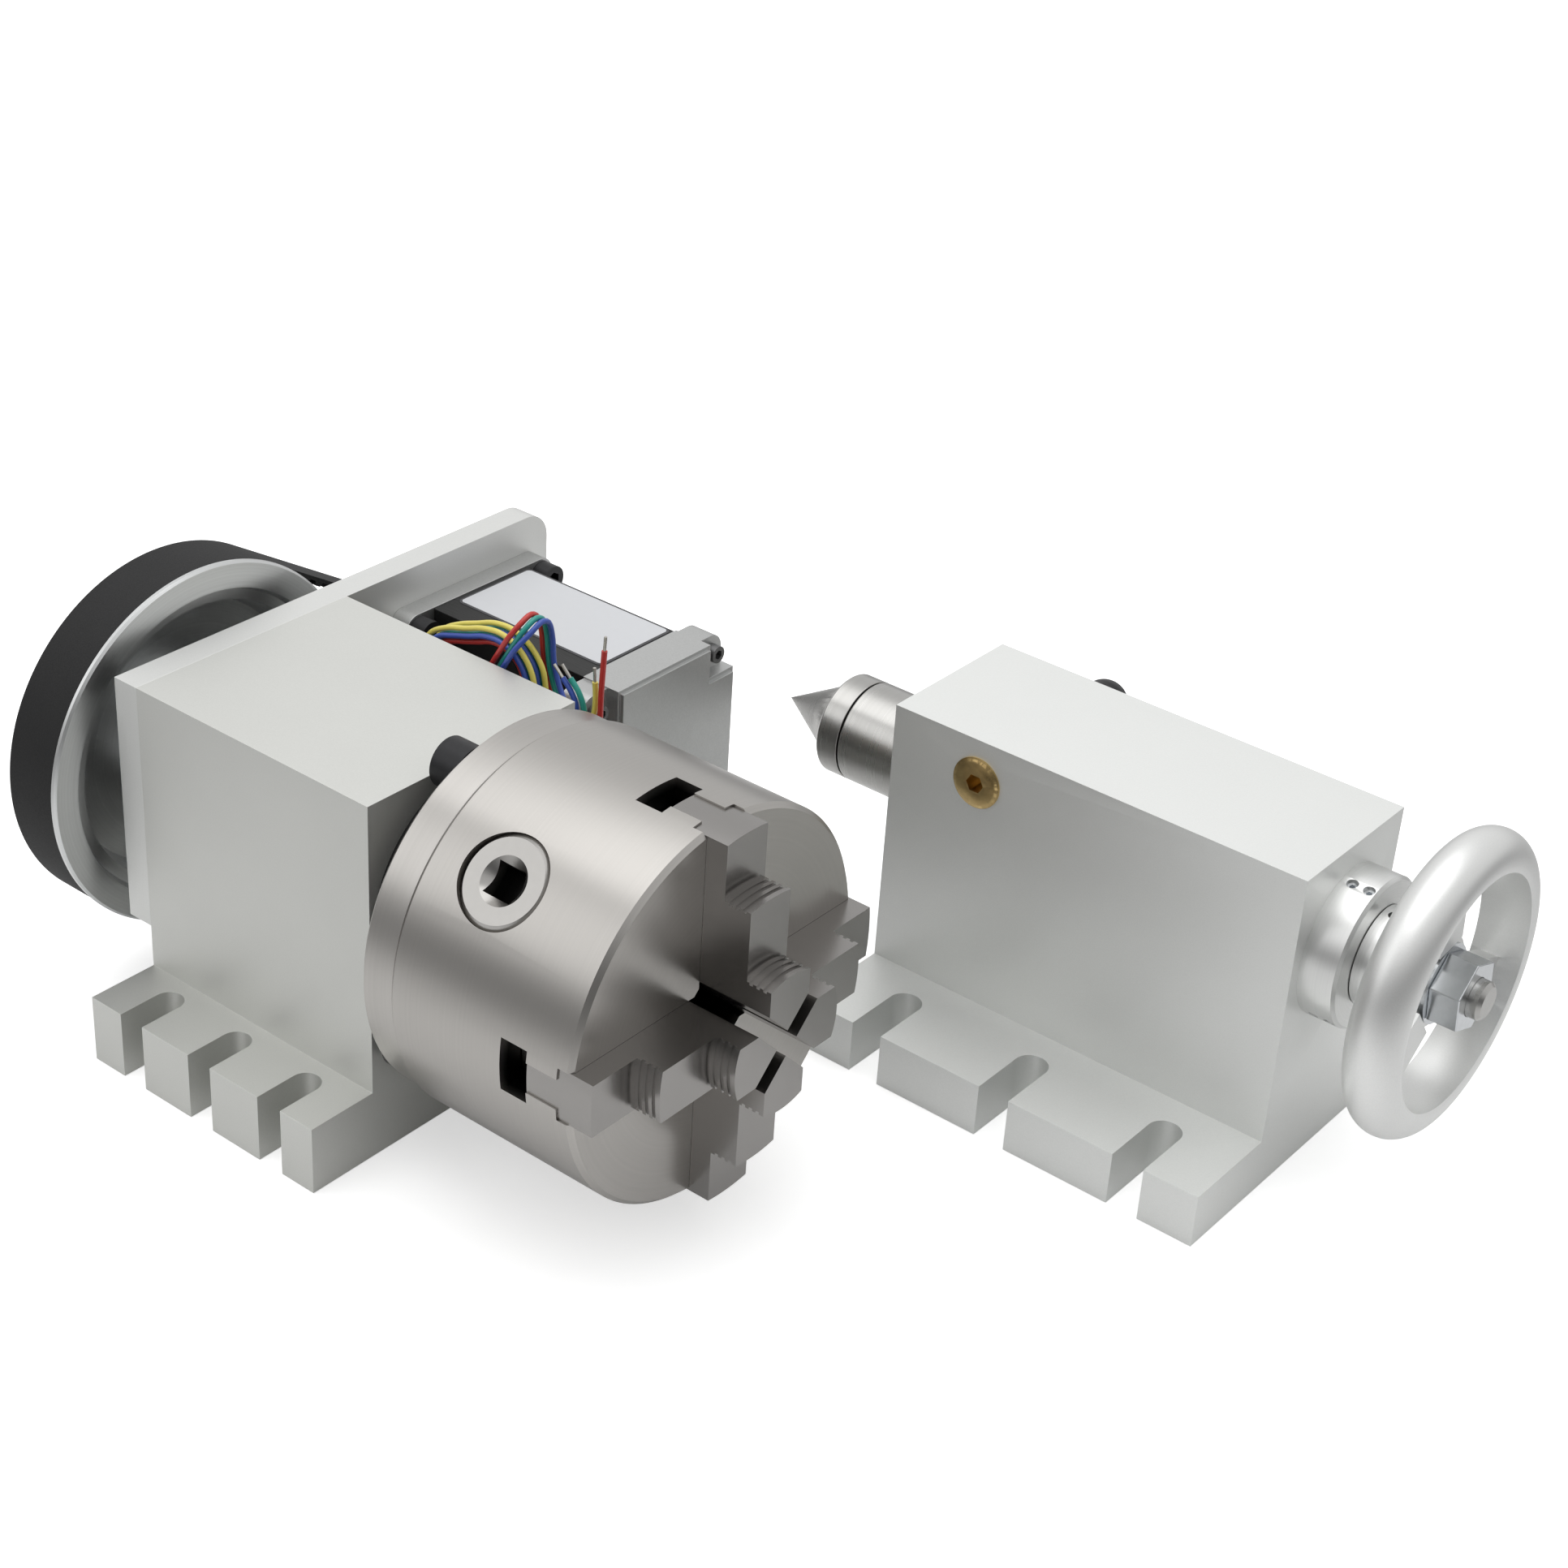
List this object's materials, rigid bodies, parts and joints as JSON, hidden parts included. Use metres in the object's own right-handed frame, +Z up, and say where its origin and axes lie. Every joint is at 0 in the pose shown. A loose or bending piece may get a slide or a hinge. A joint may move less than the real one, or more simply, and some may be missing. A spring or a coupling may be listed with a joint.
{
  "type": "rotary axis",
  "caption": "Belt-driven rotary axis for a small mill: headstock with self-centring jaw chuck, side-mounted stepper motor, and a tailstock with quill, live centre and handwheel.",
  "frame": {"origin": "the spindle axis where it leaves the headstock block's front face", "axes": "+X along the spindle out of the chuck, +Y across to the motor and tailstock, +Z up"},
  "size_m": [0.332, 0.2372, 0.114],
  "materials": {
    "billet": "satin anodised",
    "bright_billet": "satin anodised, brighter",
    "wheel_alloy": "matt blasted and bright turned",
    "pulley_alloy": "turned",
    "chuck_steel": "ground",
    "turned_steel": "turned",
    "zinc_plate": "bright zinc plate",
    "black_oxide": "black oxide",
    "motor_black": "black laminations",
    "motor_cap_alloy": "die cast",
    "rubber": "moulded",
    "brass": "turned",
    "bronze": "sintered",
    "wire_yellow": "wire insulation",
    "wire_blue": "wire insulation",
    "wire_green": "wire insulation",
    "wire_red": "wire insulation",
    "wire_mixed": "wire insulation"
  },
  "bodies": {
    "headstock": {"headstock_block": "billet", "motor_plate": "billet", "plate_screws": "black_oxide", "front_bearing_outer": "turned_steel", "front_bearing_balls": "turned_steel", "rear_bearing_outer": "turned_steel", "rear_bearing_balls": "turned_steel", "front_cover": "black_oxide", "cover_screws": "black_oxide", "belt": "rubber", "motor_flange": "billet", "motor_stack": "motor_black", "motor_cap": "motor_cap_alloy", "motor_tie_screws": "black_oxide", "motor_mount_screws": "black_oxide", "lead_grommet": "rubber", "lead_yellow": "wire_yellow", "lead_blue": "wire_blue", "lead_green": "wire_green", "lead_red": "wire_red", "lead_hank": "wire_mixed"},
    "motor_rotor": {"motor_shaft": "turned_steel", "motor_pulley": "pulley_alloy"},
    "chuck_spindle": {"spindle": "turned_steel", "pulley_key": "turned_steel", "spindle_pulley": "pulley_alloy", "locknut": "black_oxide", "front_bearing_inner": "turned_steel", "rear_bearing_inner": "turned_steel", "backplate": "turned_steel", "nose_screws": "black_oxide", "chuck_screws": "black_oxide", "chuck_body": "chuck_steel", "scroll_cover": "turned_steel"},
    "scroll_ring": {"scroll": "turned_steel"},
    "pinion_a": {"pinion_1": "turned_steel"},
    "pinion_b": {"pinion_2": "turned_steel"},
    "pinion_c": {"pinion_3": "turned_steel"},
    "jaw_a": {"jaw_1": "chuck_steel"},
    "jaw_b": {"jaw_2": "chuck_steel"},
    "jaw_c": {"jaw_3": "chuck_steel"},
    "jaw_d": {"jaw_4": "chuck_steel"},
    "tailstock": {"tail_body": "bright_billet", "rear_ring": "bright_billet", "ring_screws": "zinc_plate", "quill_key": "turned_steel", "lock_plug": "brass", "lock_pad": "brass"},
    "quill": {"quill": "turned_steel", "quill_nut": "brass", "centre_bush": "bronze"},
    "centre": {"live_centre": "turned_steel"},
    "clamp": {"clamp_stud": "turned_steel", "clamp_lever": "black_oxide"},
    "handwheel": {"leadscrew": "turned_steel", "wheel_collar": "turned_steel", "handwheel": "wheel_alloy", "wheel_washer": "zinc_plate", "wheel_nut": "zinc_plate"}
  },
  "joints": [
    {"name": "spindle_turn", "type": "hinge", "parent": "headstock", "child": "chuck_spindle", "pos_m": [0, 0, 0], "axis": [1, 0, 0], "continuous": true},
    {"name": "motor_turn", "type": "hinge", "parent": "headstock", "child": "motor_rotor", "pos_m": [0, 0.0785, -0.0025], "axis": [1, 0, 0], "continuous": true},
    {"name": "scroll_turn", "type": "hinge", "parent": "chuck_spindle", "child": "scroll_ring", "pos_m": [0, 0, 0], "axis": [1, 0, 0], "range_deg": [-144, 864]},
    {"name": "pinion_a_turn", "type": "hinge", "parent": "chuck_spindle", "child": "pinion_a", "pos_m": [0.0427, -0.02828, 0.02828], "axis": [0, 0.7071, -0.7071], "range_deg": [-720, 4320]},
    {"name": "pinion_b_turn", "type": "hinge", "parent": "chuck_spindle", "child": "pinion_b", "pos_m": [0.0427, 0.03864, 0.01035], "axis": [0, -0.9659, -0.2588], "range_deg": [-720, 4320]},
    {"name": "pinion_c_turn", "type": "hinge", "parent": "chuck_spindle", "child": "pinion_c", "pos_m": [0.0427, -0.01035, -0.03864], "axis": [0, 0.2588, 0.9659], "range_deg": [-720, 4320]},
    {"name": "jaw_a_slide", "type": "slide", "parent": "chuck_spindle", "child": "jaw_a", "axis": [0, 1, 0], "range_m": [-0.002, 0.012]},
    {"name": "jaw_b_slide", "type": "slide", "parent": "chuck_spindle", "child": "jaw_b", "axis": [0, 0, 1], "range_m": [-0.002, 0.012]},
    {"name": "jaw_c_slide", "type": "slide", "parent": "chuck_spindle", "child": "jaw_c", "axis": [0, -1, 0], "range_m": [-0.002, 0.012]},
    {"name": "jaw_d_slide", "type": "slide", "parent": "chuck_spindle", "child": "jaw_d", "axis": [0, 0, -1], "range_m": [-0.002, 0.012]},
    {"name": "tailstock_slide", "type": "slide", "parent": "headstock", "child": "tailstock", "axis": [1, 0, 0], "range_m": [-0.03, 0.2]},
    {"name": "handwheel_turn", "type": "hinge", "parent": "tailstock", "child": "handwheel", "pos_m": [0.18, 0.127, 0], "axis": [1, 0, 0], "range_deg": [-3960, 6300]},
    {"name": "quill_slide", "type": "slide", "parent": "tailstock", "child": "quill", "axis": [-1, 0, 0], "range_m": [-0.022, 0.035]},
    {"name": "centre_turn", "type": "hinge", "parent": "quill", "child": "centre", "pos_m": [0.02, 0.127, 0], "axis": [1, 0, 0], "continuous": true},
    {"name": "clamp_turn", "type": "hinge", "parent": "tailstock", "child": "clamp", "pos_m": [0.0745, 0.127, 0.015], "axis": [0, 1, 0], "range_deg": [-30, 60]}
  ],
  "couplings": [
    {"joint": "motor_turn", "follows": "spindle_turn", "ratio": 5},
    {"joint": "pinion_a_turn", "follows": "scroll_turn", "ratio": 5},
    {"joint": "pinion_b_turn", "follows": "scroll_turn", "ratio": 5},
    {"joint": "pinion_c_turn", "follows": "scroll_turn", "ratio": 5},
    {"joint": "jaw_a_slide", "follows": "scroll_turn", "m_per_rad": 0.00079577},
    {"joint": "jaw_b_slide", "follows": "scroll_turn", "m_per_rad": 0.00079577},
    {"joint": "jaw_c_slide", "follows": "scroll_turn", "m_per_rad": 0.00079577},
    {"joint": "jaw_d_slide", "follows": "scroll_turn", "m_per_rad": 0.00079577},
    {"joint": "quill_slide", "follows": "handwheel_turn", "m_per_rad": 0.00031831}
  ]
}
